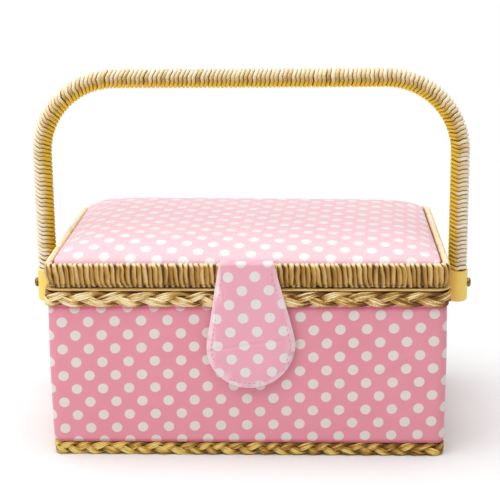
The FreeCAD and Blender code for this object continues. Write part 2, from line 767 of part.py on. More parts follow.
def main():
    os.makedirs("parts", exist_ok=True)
    for name, shape in all_parts().items():
        if not shape.isValid() or len(shape.Solids) != 1:
            raise ValueError(name + " is not one valid solid")
        shape.Solids[0].exportStep("parts/" + name + ".step")
        print(name, round(shape.Volume, 1))


main()
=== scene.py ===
# %% [markdown]
# # A sewing box with a padded lid and a straw-wound handle
# The box is a card case covered in dotted cotton. Its edges are dressed with plaited straw,
# its lid is a soft pad inside a straw-bound rim, and a cloth tab holds it shut. The hard
# frame comes ready made from the CAD model. This script loads it, leaves it where it is,
# and builds the soft and woven pieces round it.

import json
import math
import random

import bmesh
import bpy
from mathutils import Matrix, Vector, noise


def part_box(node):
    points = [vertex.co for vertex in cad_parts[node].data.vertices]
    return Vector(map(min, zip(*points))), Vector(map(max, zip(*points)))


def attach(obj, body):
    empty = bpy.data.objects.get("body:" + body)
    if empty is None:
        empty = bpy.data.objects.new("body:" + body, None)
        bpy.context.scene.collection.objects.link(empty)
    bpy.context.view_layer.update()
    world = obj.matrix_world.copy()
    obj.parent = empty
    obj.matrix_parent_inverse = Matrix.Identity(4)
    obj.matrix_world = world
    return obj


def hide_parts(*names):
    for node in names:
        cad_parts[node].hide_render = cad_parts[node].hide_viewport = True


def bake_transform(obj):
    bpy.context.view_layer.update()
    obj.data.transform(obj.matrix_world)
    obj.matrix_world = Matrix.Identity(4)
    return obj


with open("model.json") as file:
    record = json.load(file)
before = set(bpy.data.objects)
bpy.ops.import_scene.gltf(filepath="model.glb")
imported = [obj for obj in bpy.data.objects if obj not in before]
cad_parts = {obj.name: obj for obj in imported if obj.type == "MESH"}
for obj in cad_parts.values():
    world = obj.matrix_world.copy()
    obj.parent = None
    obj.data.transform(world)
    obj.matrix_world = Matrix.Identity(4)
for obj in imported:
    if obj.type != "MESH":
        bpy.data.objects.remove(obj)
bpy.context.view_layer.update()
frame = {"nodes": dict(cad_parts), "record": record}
MM = 0.001

# %% [markdown]
# ## The camera
# The photograph was taken from a little above the lid, almost straight on, with a long lens.
# A camera can be placed by eye, but here its place was solved from the corners of the box
# in the picture, so the numbers are simply typed in: how far it is turned, tipped and rolled.

# %% Camera
IMAGE_SIDE = 500
FOCAL_PIXELS = 1440
SENSOR_WIDTH = 36.0
CAMERA_PLACE = Vector((38.5, -892.1, 336.2)) * MM
CAMERA_TURN = math.radians(2.52)
CAMERA_TIP = math.radians(90 - 14.32)
CAMERA_ROLL = math.radians(-0.64)


def put(name, data):
    """A new object in the scene."""
    made = bpy.data.objects.new(name, data)
    bpy.context.scene.collection.objects.link(made)
    return made


lens = bpy.data.cameras.new("photo_camera")
lens.sensor_width = SENSOR_WIDTH
lens.lens = SENSOR_WIDTH * FOCAL_PIXELS / IMAGE_SIDE
camera = put("photo_camera", lens)
camera.matrix_world = (
    Matrix.Translation(CAMERA_PLACE)
    @ Matrix.Rotation(CAMERA_TURN, 4, "Z")
    @ Matrix.Rotation(CAMERA_TIP, 4, "X")
    @ Matrix.Rotation(CAMERA_ROLL, 4, "Z")
)
bpy.context.scene.camera = camera
print("camera lens:", round(lens.lens, 2), "mm")

# %% [markdown]
# ## Small tools for materials
# Every finish below is a node tree. One function turns the hex colours that people read into
# the linear numbers that a renderer adds up. Another adds a node, sets it and links it, so that
# a whole material reads like a recipe. The others open a material, lay colours over each other,
# and link the colour and the relief to the shader.

# %% Colour and node tools
def linear(hex_colour):
    """The linear RGBA of an sRGB hex colour."""
    parts = [int(hex_colour[i:i + 2], 16) / 255 for i in (1, 3, 5)]
    return [p / 12.92 if p <= 0.04045 else ((p + 0.055) / 1.055) ** 2.4 for p in parts] + [1.0]


def add(tree, kind, inputs=None, **settings):
    """Adds a shader node. inputs holds a value or another node's output for each socket."""
    made = tree.nodes.new("ShaderNode" + kind)
    for name, value in settings.items():
        setattr(made, name, value)
    for socket, value in (inputs or {}).items():
        if isinstance(value, bpy.types.NodeSocket):
            tree.links.new(value, made.inputs[socket])
        else:
            made.inputs[socket].default_value = value
    return made


def start_material(name, **sockets):
    """A new material with its shader's plain sockets set. Returns it, its tree and its shader."""
    made = bpy.data.materials.new(name)
    made.use_nodes = True
    shader = made.node_tree.nodes["Principled BSDF"]
    for socket, value in sockets.items():
        shader.inputs[socket.replace("_", " ")].default_value = value
    return made, made.node_tree, shader


def coated(tree, ground, *coats):
    """A ground colour with coats over it. Each coat is a share of cover and a hex colour."""
    colour = linear(ground)
    for share, hex_colour in coats:
        colour = add(tree, "Mix", {"Factor": share, "A": colour, "B": linear(hex_colour)},
                     data_type="RGBA").outputs["Result"]
    return colour


def dress(tree, shader, colour, height, strength, depth):
    """Links a finish's colour and its relief, depth metres high, to the shader."""
    bump = add(tree, "Bump", {"Height": height, "Strength": strength, "Distance": depth})
    tree.links.new(colour, shader.inputs["Base Color"])
    tree.links.new(bump.outputs["Normal"], shader.inputs["Normal"])


# %% [markdown]
# ## The studio
# The picture has a white sweep and soft light from above, with only a faint shadow under the
# box. A pale floor, an even white surround and one large lamp overhead give the same. A window on
# the left, close by, makes that side a little paler.

# %% Floor and light
FLOOR_HALF = 4.0
FAINT_LIGHT = 0.24
floor_paint, tree, shader = start_material("matt_white_paint", Roughness=0.9)
cloudy = add(tree, "TexNoise", {"Scale": 3.0, "Detail": 2.0}).outputs["Fac"]
tree.links.new(coated(tree, "#E6E7E7", (cloudy, "#EAEBEB")), shader.inputs["Base Color"])

bm = bmesh.new()
bmesh.ops.create_grid(bm, x_segments=1, y_segments=1, size=FLOOR_HALF)
floor_mesh = bpy.data.meshes.new("floor")
bm.to_mesh(floor_mesh)
bm.free()
floor_mesh.materials.append(floor_paint)
put("floor", floor_mesh)

surround = bpy.data.worlds.new("white_surround")
surround.use_nodes = True
surround.node_tree.nodes["Background"].inputs["Color"].default_value = linear("#FFFFFF")
# The surround is seen as white but lights the box only faintly, as a dark studio behind a sweep does.
seen = add(surround.node_tree, "LightPath").outputs["Is Camera Ray"]
strength = add(surround.node_tree, "MapRange", {0: seen, 3: FAINT_LIGHT, 4: 1.0}).outputs[0]
surround.node_tree.links.new(strength, surround.node_tree.nodes["Background"].inputs["Strength"])
bpy.context.scene.world = surround
bpy.context.scene.view_settings.view_transform = "Standard"

sky = bpy.data.lights.new("sky_lamp", "SUN")
sky.angle = math.radians(70)
sky.energy = 3.3
window = bpy.data.lights.new("window_lamp", "AREA")
window.size = 0.5
window.energy = 1.1
LAMPS = [(sky, (-0.12, -0.05, 1.0)), (window, (-0.55, -0.6, 0.45))]
for lamp_data, place in LAMPS:
    lamp = put(lamp_data.name, lamp_data)
    lamp.location = place
    lamp.rotation_euler = (-Vector(place)).to_track_quat("-Z", "Y").to_euler()
    lamp.visible_camera = False
print("studio:", len(LAMPS), "lamps")

# %% [markdown]
# ## Dotted cotton
# The cover is cotton poplin, printed pink with white dots left in it. Printed cloth is flat in
# colour, so what the eye sees is the even lattice of dots, their slightly soft ink edge, a
# faint cloudiness in the dye and the fine weave catching the light. The dots stand in five-spot
# order, which is two square lattices, one set half a step off the other. Wrapping the distance
# to the nearest lattice point gives the dots with a handful of vector nodes and no image.

# %% Dotted cotton
DOT_STEP = Vector((15.75, 16.77, 1000.0)) * MM
DOT_RADIUS = 3.12 * MM
INK_EDGE = 0.28 * MM
INK_WANDER = 1.111 * MM
DYE_CLOUD = 35.7 * MM
# Painted highlight: rolled edges are painted paler pink, as the light catching them makes them.
EDGE_HIGHLIGHT_PINK = "#FFE4EA"
# Painted shade: a deep red line where the cloth tucks under the plaits and against the rim, standing in
# for the shade there.
TUCK_SHADE_RED = "#CE4A66"
# Real threads are 0.3 mm apart, too fine for this picture, so they are drawn three times as wide.
THREAD_STEP = 0.9 * MM
WAVE_CYCLES = 20 / (2 * math.pi)


def weave_height(tree, coords, step):
    """Two crossed sets of threads as one height."""
    scale = 1 / (step * WAVE_CYCLES)
    sets = [add(tree, "TexWave", {"Vector": coords, "Scale": scale, "Distortion": 0.6, "Detail": 1.0},
                wave_type="BANDS", bands_direction=way).outputs["Fac"] for way in ("X", "Y")]
    return add(tree, "Math", {0: sets[0], 1: sets[1]}, operation="ADD").outputs[0]


def dotted_cotton(name, on_uv, dot_at, turn, deep, pale, dot_colour):
    """Printed cotton. dot_at is where one dot lies, in metres of cloth, and turn its slant."""
    cotton, tree, shader = start_material(
        name, Roughness=0.82, Sheen_Weight=0.25, Sheen_Roughness=0.45, Specular_IOR_Level=0.25)
    source = add(tree, "TexCoord").outputs["UV" if on_uv else "Object"]
    lattice = add(tree, "Mapping",
                  {"Vector": source, "Location": (*dot_at, 0.0), "Rotation": (0, 0, turn),
                   "Scale": DOT_STEP}, vector_type="TEXTURE").outputs["Vector"]
    shifted = add(tree, "VectorMath", {0: lattice, 1: (0.5, 0.5, 0.0)}, operation="ADD").outputs[0]
    reach = []
    for points in (lattice, shifted):
        nearest = add(tree, "VectorMath", {0: points, 1: (0.5, 0.5, 0.5), 2: (-0.5, -0.5, -0.5)},
                      operation="WRAP").outputs[0]
        flat = add(tree, "VectorMath", {0: nearest, 1: (DOT_STEP.x, DOT_STEP.y, 0.0)},
                   operation="MULTIPLY").outputs[0]
        reach.append(add(tree, "VectorMath", {0: flat}, operation="LENGTH").outputs["Value"])
    nearer = add(tree, "Math", {0: reach[0], 1: reach[1]}, operation="MINIMUM").outputs[0]
    ragged = add(tree, "TexNoise", {"Vector": source, "Scale": 1 / INK_WANDER, "Detail": 2.0})
    wander = add(tree, "MapRange", {0: ragged.outputs["Fac"], 3: -INK_EDGE, 4: INK_EDGE}).outputs[0]
    distance = add(tree, "Math", {0: nearer, 1: wander}, operation="ADD").outputs[0]
    dot = add(tree, "MapRange", {0: distance, 1: DOT_RADIUS - INK_EDGE, 2: DOT_RADIUS + INK_EDGE,
                                 3: 1.0, 4: 0.0}, interpolation_type="SMOOTHSTEP").outputs[0]
    cloudy = add(tree, "TexNoise", {"Vector": source, "Scale": 1 / DYE_CLOUD, "Detail": 3.0})
    # Two marks mix in a painted highlight on rolled edges and painted shade where the cloth tucks in.
    edge_highlight, tuck_shade = (add(tree, "Attribute", attribute_name=mark).outputs["Fac"]
                    for mark in ("edge_highlight", "tuck_shade"))
    colour = coated(tree, deep, (cloudy.outputs["Fac"], pale), (dot, dot_colour), (edge_highlight, EDGE_HIGHLIGHT_PINK),
                    (tuck_shade, TUCK_SHADE_RED))
    dress(tree, shader, colour, weave_height(tree, source, THREAD_STEP), 0.12, 0.2 * MM)
    return cotton


# Painted light: the lid's copy of the same cotton is paler and greyer than the walls' copy, as the
# overhead lamp washes out the top.
lid_cotton_painted_lit = dotted_cotton("dotted_cotton_lid_painted_light", on_uv=False, dot_at=(7.2 * MM, -1.0 * MM),
                           turn=math.radians(-3.8),
                           deep="#E9BBC5", pale="#EEC8D0", dot_colour="#EBE3E1")
wall_cotton = dotted_cotton("dotted_cotton_walls", on_uv=True, dot_at=(0.0, 0.0), turn=0.0,
                            deep="#E791A1", pale="#ED9DAB", dot_colour="#E6DDD7")
tab_cotton = dotted_cotton("dotted_cotton_tab", on_uv=True, dot_at=(-1.6 * MM, 88.1 * MM),
                           turn=math.radians(1.7),
                           deep="#EFA7BA", pale="#F4B3C4", dot_colour="#EAE3E0")
print("cotton: dots", round(2 * DOT_RADIUS / MM, 1), "mm across")

# %% [markdown]
# ## Straw
# The rim, the plaits and the handle are twisted paper straw. Its fibres run along the strand, so
# light and dark streaks do too, and the twist leaves it with a soft shine. Each piece of straw
# carries its own measure: how far across and along the strand a point lies, and a tone. The tone
# differs from strand to strand, and on the rim, the plaits and the handle it also carries painted
# light and shade. The streaks are noise drawn out along that measure.

# %% Straw
# Fibres are about 0.25 mm wide, drawn here at 0.5 mm so that they show.
FIBRE_WIDTH = 0.5
FIBRE_LENGTH = 14.0
TONE_SPREAD = 40.0
# From dark to middle between the first two tones, and on to light between the others
TONE_STEPS = ((0.2, 0.55), (0.5, 0.85))


def straw(name, dark, middle, light, tint):
    """Twisted paper straw that follows the 'straw' measure in millimetres, tinted where 'tint' says."""
    made, tree, shader = start_material(name, Roughness=0.5, Specular_IOR_Level=0.45)
    measure = add(tree, "Attribute", attribute_name="straw").outputs["Vector"]
    place = add(tree, "VectorMath",
                {0: measure, 1: (1 / FIBRE_WIDTH, 1 / FIBRE_LENGTH, TONE_SPREAD)},
                operation="MULTIPLY").outputs[0]
    fibres = add(tree, "TexNoise", {"Vector": place, "Scale": 1.0, "Detail": 4.0,
                                    "Roughness": 0.6}).outputs["Fac"]
    tone = add(tree, "SeparateXYZ", {0: measure}).outputs["Z"]
    toned = add(tree, "Math", {0: fibres, 1: tone}, operation="ADD").outputs[0]
    shares = [add(tree, "MapRange", {0: toned, 1: start, 2: end}).outputs[0]
              for start, end in TONE_STEPS]
    shares.append(add(tree, "Attribute", attribute_name="tint").outputs["Fac"])
    colour = coated(tree, dark, *zip(shares, (middle, light, tint)))
    dress(tree, shader, colour, fibres, 0.5, 0.3 * MM)
    return made


# The rim's tint colour is a painted highlight along the top of its turns.
rim_straw_finish = straw("paper_straw_rim", "#7A4C10", "#CC9738", "#FBE0A0", "#FBEBCF")
plait_finish = straw("paper_straw_plait", "#7E4F14", "#D9AB54", "#FFEDBB", "#E4B23C")
base_plait_finish = straw("paper_straw_base", "#7A4F0C", "#CC9A32", "#F8DC80", "#E4B23C")
handle_straw_finish = straw("paper_straw_handle", "#7F5013", "#E3C07C", "#FFF4DA", "#F0C92E")
print("straw finishes: 4")

# %% [markdown]
# ## Making a piece
# A mesh that is finished becomes an object, gets its material, and is told which CAD body it
# rides on and which CAD nodes it stands for. Flat pieces such as pads, felt and the tab get
# their second side by growing a copy of their faces.

# %% Piece tool
def mesh_of(bm, name, seam=1e-6):
    """Merges doubles, turns the faces outwards and returns the mesh."""
    bmesh.ops.remove_doubles(bm, verts=bm.verts[:], dist=seam)
    bmesh.ops.recalc_face_normals(bm, faces=bm.faces[:])
    mesh = bpy.data.meshes.new(name)
    bm.to_mesh(mesh)
    bm.free()
    mesh.shade_smooth()
    return mesh


def piece(name, mesh, material, body, slot, *stood_for):
    """An object at the origin that rides on a body."""
    made = put(name, mesh)
    mesh.materials.append(material)
    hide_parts(*stood_for)
    if body:
        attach(made, body)
    print(name, len(mesh.vertices), "points,", len(mesh.polygons), "faces")
    return made


def grow(bm):
    """Copies all faces, joined to the first by a wall along the edge. Returns the copy's points."""
    grown = bmesh.ops.extrude_face_region(bm, geom=bm.faces[:], use_keep_orig=True)["geom"]
    return [part for part in grown if isinstance(part, bmesh.types.BMVert)]


# %% [markdown]
# ## Bending a straight strip round the box
# Straw is plaited straight and then sewn on round the corners, and it is easiest to model it the
# same way. A strip is laid out along X, with its outer side facing -Y. The function below walks
# each point along straight runs and quarter turns and sets it down there. It works for the four
# sides of the box and, turned upright, for the handle.

# %% Bend tool
def bend_along(bm, runs, radius, turning, start, heading):
    """Lays a strip along straight runs joined by quarter turns, turning 1 is left and -1 right."""
    for vert in bm.verts:
        way, angle, at = vert.co.x, heading, Vector(start)
        for number, run in enumerate(runs):
            last = number == len(runs) - 1
            step = way if last else min(way, run)
            at = at + step * Vector((math.cos(angle), math.sin(angle)))
            way -= step
            if last or way <= 0:
                break
            swing = min(way / radius, math.pi / 2)
            inward = turning * Vector((-math.sin(angle), math.cos(angle)))
            centre = at + radius * inward
            angle += turning * swing
            at = centre - radius * turning * Vector((-math.sin(angle), math.cos(angle)))
            way -= swing * radius
        outward = turning * Vector((math.sin(angle), -math.cos(angle)))
        flat = at - vert.co.y * outward
        vert.co = Vector((flat.x, flat.y, vert.co.z))


def way_round(half_x, half_y, corner):
    """The length of a rounded rectangle's outline."""
    return 4 * (half_x + half_y - 2 * corner) + 2 * math.pi * corner


def round_the_box(bm, half_x, half_y, corner):
    """Bends a strip round a rounded rectangle, from the middle of the back past the left side."""
    length = way_round(half_x, half_y, corner)
    for vert in bm.verts:
        vert.co.x %= length
    long_run = 2 * (half_x - corner)
    short_run = 2 * (half_y - corner)
    runs = [long_run / 2, short_run, long_run, short_run, long_run / 2]
    bend_along(bm, runs, corner, 1, (0.0, half_y), math.pi)


def half_sides(node):
    """Half of a CAD node's width and depth."""
    low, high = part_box(node)
    return (high.x - low.x) / 2, (high.y - low.y) / 2


print("way round the walls:", round(way_round(*half_sides("body_cover"), 5 * MM) / MM, 1), "mm")

# %% [markdown]
# ## The dotted cover of the walls
# Cotton is stretched over thin wadding and tucked under the plait at the top and the bottom. It
# is cut as one band and joined at the back. A grid bent round the box gives that band. It swells a
# little between the plaits, is pressed flat where hardware sits on it, and has the faint creases
# of cloth that was folded in its packet. The UV map holds metres of cloth, so the dots run on round
# the corners, and rows climb slightly to the right because the cloth was cut off the straight.

# %% Cover of the walls
COVER_CORNER = 5 * MM
COVER_SWELL = 0.9 * MM
COVER_THICK = 1.9 * MM
COVER_GRID = (300, 75)
RIPPLE = 0.3 * MM
RIPPLES_ROUND = 5
RIPPLES_UP = 25
TUCK = 1.2 * MM
# Painted shade: how strong the red line is where the cloth tucks in.
TUCK_SHADE_SHARE = 0.7
TUCK_LINES = (8.7 * MM, 93.2 * MM)
UNDER_PLAIT = 3.0 * MM
CLOTH_RISE = math.tan(math.radians(1.47))
CLOTH_LEAN = 0.011
FRONT_DOT = Vector((-109.75, 83.95)) * MM
# x, z, x, z, width and depth in mm of each crease on the front
CREASES = [(-92, 93, -88, 82, 1.2, 0.35), (76, 53, 103, 67, 1.4, 0.4), (-30, 26, -64, 34, 2.0, 0.2),
           (64, 30, 88, 24, 1.8, 0.25), (-104, 50, -96, 30, 1.6, 0.2)]
# Hardware that presses the cover flat: side as x, y, then z and reach in mm
PRESSED = [(0, -78, 64.5, 11), (-118, 0, 87, 8), (118, 0, 87, 8)]
cover_x, cover_y = half_sides("body_cover")
cover_low, cover_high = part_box("body_cover")
cover_high.z -= UNDER_PLAIT
cover_low.z -= TUCK
cover_way = way_round(cover_x, cover_y, COVER_CORNER)


def strip(bm, length, low, high, along, up):
    """Adds a flat strip along X from z low to z high, facing -Y. Returns its points."""
    made = bmesh.ops.create_grid(bm, x_segments=along, y_segments=up, size=0.5)["verts"]
    bmesh.ops.scale(bm, vec=(length, high - low, 1), verts=made)
    bmesh.ops.rotate(bm, matrix=Matrix.Rotation(math.pi / 2, 3, "X"), verts=made)
    bmesh.ops.translate(bm, vec=(length / 2, 0, (low + high) / 2), verts=made)
    return made


def map_cloth(bm, lies_at):
    """Fills the UV map with the place on the cloth, in metres, that each point lies at."""
    cloth = bm.loops.layers.uv["cloth"]
    for face in bm.faces:
        for loop in face.loops:
            loop[cloth].uv = lies_at(loop.vert.co)


def wall_cloth(point):
    """Where a point of the flat band lies on the cloth, from a dot on the front."""
    across = point.x - cover_way / 2 - FRONT_DOT.x
    above = point.z - FRONT_DOT.y
    return across - above * CLOTH_LEAN, above - across * CLOTH_RISE


def ease(value):
    """A smooth step from 0 to 1."""
    value = min(max(value, 0.0), 1.0)
    return value * value * (3 - 2 * value)


bm = bmesh.new()
bm.loops.layers.uv.new("cloth")
tuck_shade = bm.verts.layers.float.new("tuck_shade")
strip(bm, cover_way, cover_low.z, cover_high.z, *COVER_GRID)
map_cloth(bm, wall_cloth)
for vert in bm.verts:
    share = (vert.co.z - cover_low.z) / (cover_high.z - cover_low.z)
    around = vert.co.x * 2 * math.pi / cover_way
    swell = COVER_SWELL * (math.sin(math.pi * share) ** 0.4 if 0 < share < 1 else 0)
    ripple = noise.noise(Vector((math.cos(around) * RIPPLES_ROUND, math.sin(around) * RIPPLES_ROUND,
                                 vert.co.z * RIPPLES_UP)))
    swell += RIPPLE * ripple * math.sin(math.pi * share)
    swell -= 0.4 * TUCK * math.exp(-(vert.co.z - cover_low.z) / TUCK)
    point = Vector((vert.co.x - cover_way / 2, vert.co.z)) / MM
    for x0, z0, x1, z1, width, depth in CREASES:
        start, end = Vector((x0, z0)), Vector((x1, z1))
        run = (point - start).dot(end - start) / (end - start).length_squared
        nearest = start + min(max(run, 0), 1) * (end - start)
        swell += depth * MM * math.exp(-((point - nearest).length / width) ** 2)
    vert.co.y = -swell
    # Painted shade: a red line is marked along the lines where the cloth tucks under the plaits.
    from_tuck = min(abs(vert.co.z - line) for line in TUCK_LINES)
    vert[tuck_shade] = TUCK_SHADE_SHARE * math.exp(-(from_tuck / TUCK) ** 2)
round_the_box(bm, cover_x, cover_y, COVER_CORNER)
for vert in bm.verts:
    for x, y, z, reach in PRESSED:
        gap = (vert.co / MM - Vector((x, y, z))).length
        hold = 1 - ease((gap - reach) / reach)
        vert.co.x -= hold * (vert.co.x - x * MM) * (abs(x) > 0)
        vert.co.y -= hold * (vert.co.y - y * MM) * (abs(y) > 0)
wall_cover = piece("wall_cover", mesh_of(bm, "wall_cover"), wall_cotton, "box", "dot_cloth",
                   "body_cover", "wall_wadding")
thick = wall_cover.modifiers.new("wadding", "SOLIDIFY")
thick.thickness = COVER_THICK
thick.offset = -1

# %% [markdown]
# ## Pads
# The lid is a foam cushion under stretched cotton, and the lid's inside and the floor have thin
# quilted pads. A pad could be pushed up by a formula alone, but cloth that is really blown up
# bulges more naturally. So each pad starts as a grid with rounded corners, is given an underside,
# and is swollen for twenty frames by the cloth simulation with its edge held. The swelling is
# capped, so that the pad stays clear of its neighbours.

# %% Pad tool
SWELL_FRAMES = 20
SWELL_PRESSURE = 4.0
GRID_STEP = 3.6 * MM


def rounded_sheet(half_x, half_y, corner):
    """A flat grid with round corners, with painted shade marked along its left and right edges, where
    they tuck in.
    """
    made = bmesh.new()
    tuck_shade = made.verts.layers.float.new("tuck_shade")
    bmesh.ops.create_grid(made, x_segments=round(2 * half_x / GRID_STEP),
                          y_segments=round(2 * half_y / GRID_STEP), size=0.5)
    bmesh.ops.scale(made, vec=(2 * half_x, 2 * half_y, 1), verts=made.verts)
    for side in (-1, 1):
        bmesh.ops.bisect_plane(made, geom=made.verts[:] + made.edges[:] + made.faces[:], dist=1e-6,
                               plane_co=(side * (half_x - TUCK), 0, 0), plane_no=(1, 0, 0))
    for vert in made.verts:
        # Painted shade in the crevice where the edge tucks in against the rim.
        vert[tuck_shade] = math.exp(-((half_x - abs(vert.co.x)) / (0.6 * TUCK)) ** 2)
        past = Vector((abs(vert.co.x) - half_x + corner, abs(vert.co.y) - half_y + corner)) / corner
        if past.x > 0 and past.y > 0:
            pull = max(past) / past.length
            vert.co.x = math.copysign(half_x - corner + past.x * pull * corner, vert.co.x)
            vert.co.y = math.copysign(half_y - corner + past.y * pull * corner, vert.co.y)
    return made


def swell(pad, held, cap):
    """Blows a pad up by cloth simulation. Points in held stay, others move by less than cap."""
    group = pad.vertex_groups.new(name="held")
    group.add(held, 1.0, "REPLACE")
    cloth = pad.modifiers.new("swell", "CLOTH")
    cloth.settings.vertex_group_mass = "held"
    cloth.settings.use_pressure = True
    cloth.settings.uniform_pressure_force = SWELL_PRESSURE
    cloth.settings.effector_weights.gravity = 0
    cloth.point_cache.frame_end = SWELL_FRAMES
    for number in range(1, SWELL_FRAMES + 1):
        bpy.context.scene.frame_set(number)
    blown = pad.evaluated_get(bpy.context.evaluated_depsgraph_get())
    furthest = 0.0
    for vert, after in zip(pad.data.vertices, blown.data.vertices):
        move = after.co - vert.co
        furthest = max(furthest, move.length)
        if move.length > 0:
            vert.co += move.normalized() * cap * (1 - math.exp(-move.length / cap))
    pad.modifiers.remove(cloth)
    pad.vertex_groups.remove(group)
    bpy.context.scene.frame_set(1)
    print(pad.name, "swelled by up to", round(furthest / MM, 2), "mm before the cap")


def pad_piece(name, material, body, slot, stood_for, size, flat_z, edge_z, rise, rolls, cap, lopsided=0):
    """A pad from flat_z to edge_z at its edge, rising over the rolls at its sides, front and back."""
    half_x, half_y, corner = size
    side_roll, front_roll, back_roll = rolls
    up = math.copysign(1, edge_z - flat_z)
    made = rounded_sheet(half_x, half_y, corner)
    bmesh.ops.translate(made, vec=(0, 0, flat_z), verts=made.verts)
    for vert in grow(made):
        to_side = half_x - abs(vert.co.x)
        to_front = half_y + vert.co.y
        to_back = half_y - vert.co.y
        crown = (1 - math.exp(-to_side / side_roll)) * (1 - math.exp(-to_front / front_roll))
        crown *= (1 - math.exp(-to_back / back_roll)) * (1 - lopsided * vert.co.x / half_x)
        vert.co.z = edge_z + up * rise * crown
    pad = piece(name, mesh_of(made, name), material, body, slot, *stood_for)
    edge_height = abs(edge_z - flat_z) + 0.01 * MM
    held = [vert.index for vert in pad.data.vertices if abs(vert.co.z - flat_z) < edge_height]
    swell(pad, held, cap)
    smooth = pad.modifiers.new("smooth", "SUBSURF")
    smooth.levels = 1
    smooth.render_levels = 1


# %% [markdown]
# ## Lining cotton and felt
# Inside, the box is lined with plain cream cotton, and it stands on a sheet of pressed felt. Cotton
# shows its weave as a fine grid. Felt has no grid at all, only matted fibres in every direction.

# %% Lining cotton and felt
LINING_CLOUD = 25 * MM
lining_cotton, tree, shader = start_material("cream_cotton", Roughness=0.75, Sheen_Weight=0.3,
                                             Sheen_Roughness=0.4, Specular_IOR_Level=0.3)
source = add(tree, "TexCoord").outputs["Object"]
cloudy = add(tree, "TexNoise", {"Vector": source, "Scale": 1 / LINING_CLOUD, "Detail": 4.0})
dress(tree, shader, coated(tree, "#EADCC9", (cloudy.outputs["Fac"], "#F7EFE3")),
      weave_height(tree, source, THREAD_STEP), 0.2, 0.3 * MM)

# Felt fibres are 0.03 mm thick and show as clumps about 1 mm long.
FELT_CLUMP = 1 * MM
felt, tree, shader = start_material("pressed_felt", Roughness=0.95, Sheen_Weight=0.4,
                                    Specular_IOR_Level=0.1)
source = add(tree, "TexCoord").outputs["Object"]
matted = add(tree, "TexNoise", {"Vector": source, "Scale": 1 / FELT_CLUMP, "Detail": 5.0,
                                "Roughness": 0.7, "Distortion": 1.5}).outputs["Fac"]
dress(tree, shader, coated(tree, "#BDB49F", (matted, "#EEE8D9")), matted, 0.5, 0.5 * MM)
print("lining cotton and felt ready")

# %% [markdown]
# ## The lid's cushion and the inner pads
# The cushion fills the frame that the straw rim makes and stands proud of it. Its front edge rolls
# over softly, where the tab pulls at it, and the other edges turn down more sharply. It was filled by
# hand, and there is a little more foam on the left.

# %% Cushion and pads
pad_piece("lid_cushion", lid_cotton_painted_lit, "lid", "dot_cloth", ["lid_cover", "lid_pad"],
          size=(114.9 * MM, 74.9 * MM, 4 * MM), flat_z=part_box("lid_cover")[0].z, edge_z=120.2 * MM,
          rise=7.4 * MM, rolls=(6 * MM, 9 * MM, 2.5 * MM), cap=2.4 * MM, lopsided=0.16)
pad_piece("lid_lining_pad", lining_cotton, "lid", "lining_cloth", ["lid_lining"],
          size=(114.6 * MM, 74.6 * MM, 4 * MM), flat_z=108.5 * MM, edge_z=106.2 * MM,
          rise=0.9 * MM, rolls=(10 * MM, 10 * MM, 10 * MM), cap=1.4 * MM)
pad_piece("floor_pad_cotton", lining_cotton, "box", "lining_cloth", ["floor_pad"],
          size=(111.6 * MM, 71.6 * MM, 3 * MM), flat_z=4.0 * MM, edge_z=5.0 * MM,
          rise=1.0 * MM, rolls=(6 * MM, 6 * MM, 6 * MM), cap=1.4 * MM)

# %% [markdown]
# ## Lining of the walls and the felt underneath
# The lining is one band of cotton glued tight to the card, so it follows the walls with hardly a
# ripple. The felt is a plain sheet cut to the outline of the base.

# %% Lining and felt
LINING_CORNER = 1.5 * MM
LINING_THICK = 0.55 * MM
LINING_RIPPLE = 0.08 * MM
LINING_GRID = (200, 20)
FELT_CORNER = 2.8 * MM
FELT_ROUGH = 0.25 * MM
lining_x, lining_y = (side - LINING_THICK / 2 for side in half_sides("wall_lining"))
lining_low, lining_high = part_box("wall_lining")
lining_way = way_round(lining_x, lining_y, LINING_CORNER)
bm = bmesh.new()
strip(bm, lining_way, lining_low.z, lining_high.z, *LINING_GRID)
for vert in bm.verts:
    vert.co.y = LINING_RIPPLE * noise.noise(Vector((vert.co.x * 60, 0, vert.co.z * 60)))
round_the_box(bm, lining_x, lining_y, LINING_CORNER)
lining = piece("wall_lining_cotton", mesh_of(bm, "wall_lining_cotton"), lining_cotton, "box",
               "lining_cloth", "wall_lining")
thick = lining.modifiers.new("cloth", "SOLIDIFY")
thick.thickness = LINING_THICK
thick.offset = 0

felt_low, felt_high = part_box("base_sheet")
felt_x, felt_y = half_sides("base_sheet")
bm = rounded_sheet(felt_x, felt_y, FELT_CORNER)
bmesh.ops.translate(bm, vec=(0, 0, felt_low.z), verts=bm.verts)
bmesh.ops.translate(bm, vec=(0, 0, felt_high.z - felt_low.z), verts=grow(bm))
for vert in bm.verts:
    if vert.co.z < felt_high.z / 2:
        vert.co.z += FELT_ROUGH * abs(noise.noise(vert.co * 45))
base_felt = piece("base_felt_sheet", mesh_of(bm, "base_felt_sheet"), felt, "box", "base_felt",
                  "base_sheet")

# %% [markdown]
# ## Straight straws and plaits
# A plait of three strands is sewn round the top of the walls and another round the foot. Seen from
# the front, each strand swings up and down like a wave, and it lies on top twice in each wave and
# underneath twice. Waves a third of a turn apart give exactly that weave. Each strand is four
# straws side by side. A straw is a flat grid rolled up into a tube along X.

# %% Straw tool
STRAW_SIDES = 6


def rolled_grid(bm, steps):
    """A tube of STRAW_SIDES sides. Returns its points, each with its share along and its angle."""
    grid = bmesh.ops.create_grid(bm, x_segments=steps, y_segments=STRAW_SIDES, size=0.5)["verts"]
    return [(vert, vert.co.x + 0.5, 2 * math.pi * (vert.co.y + 0.5)) for vert in grid]


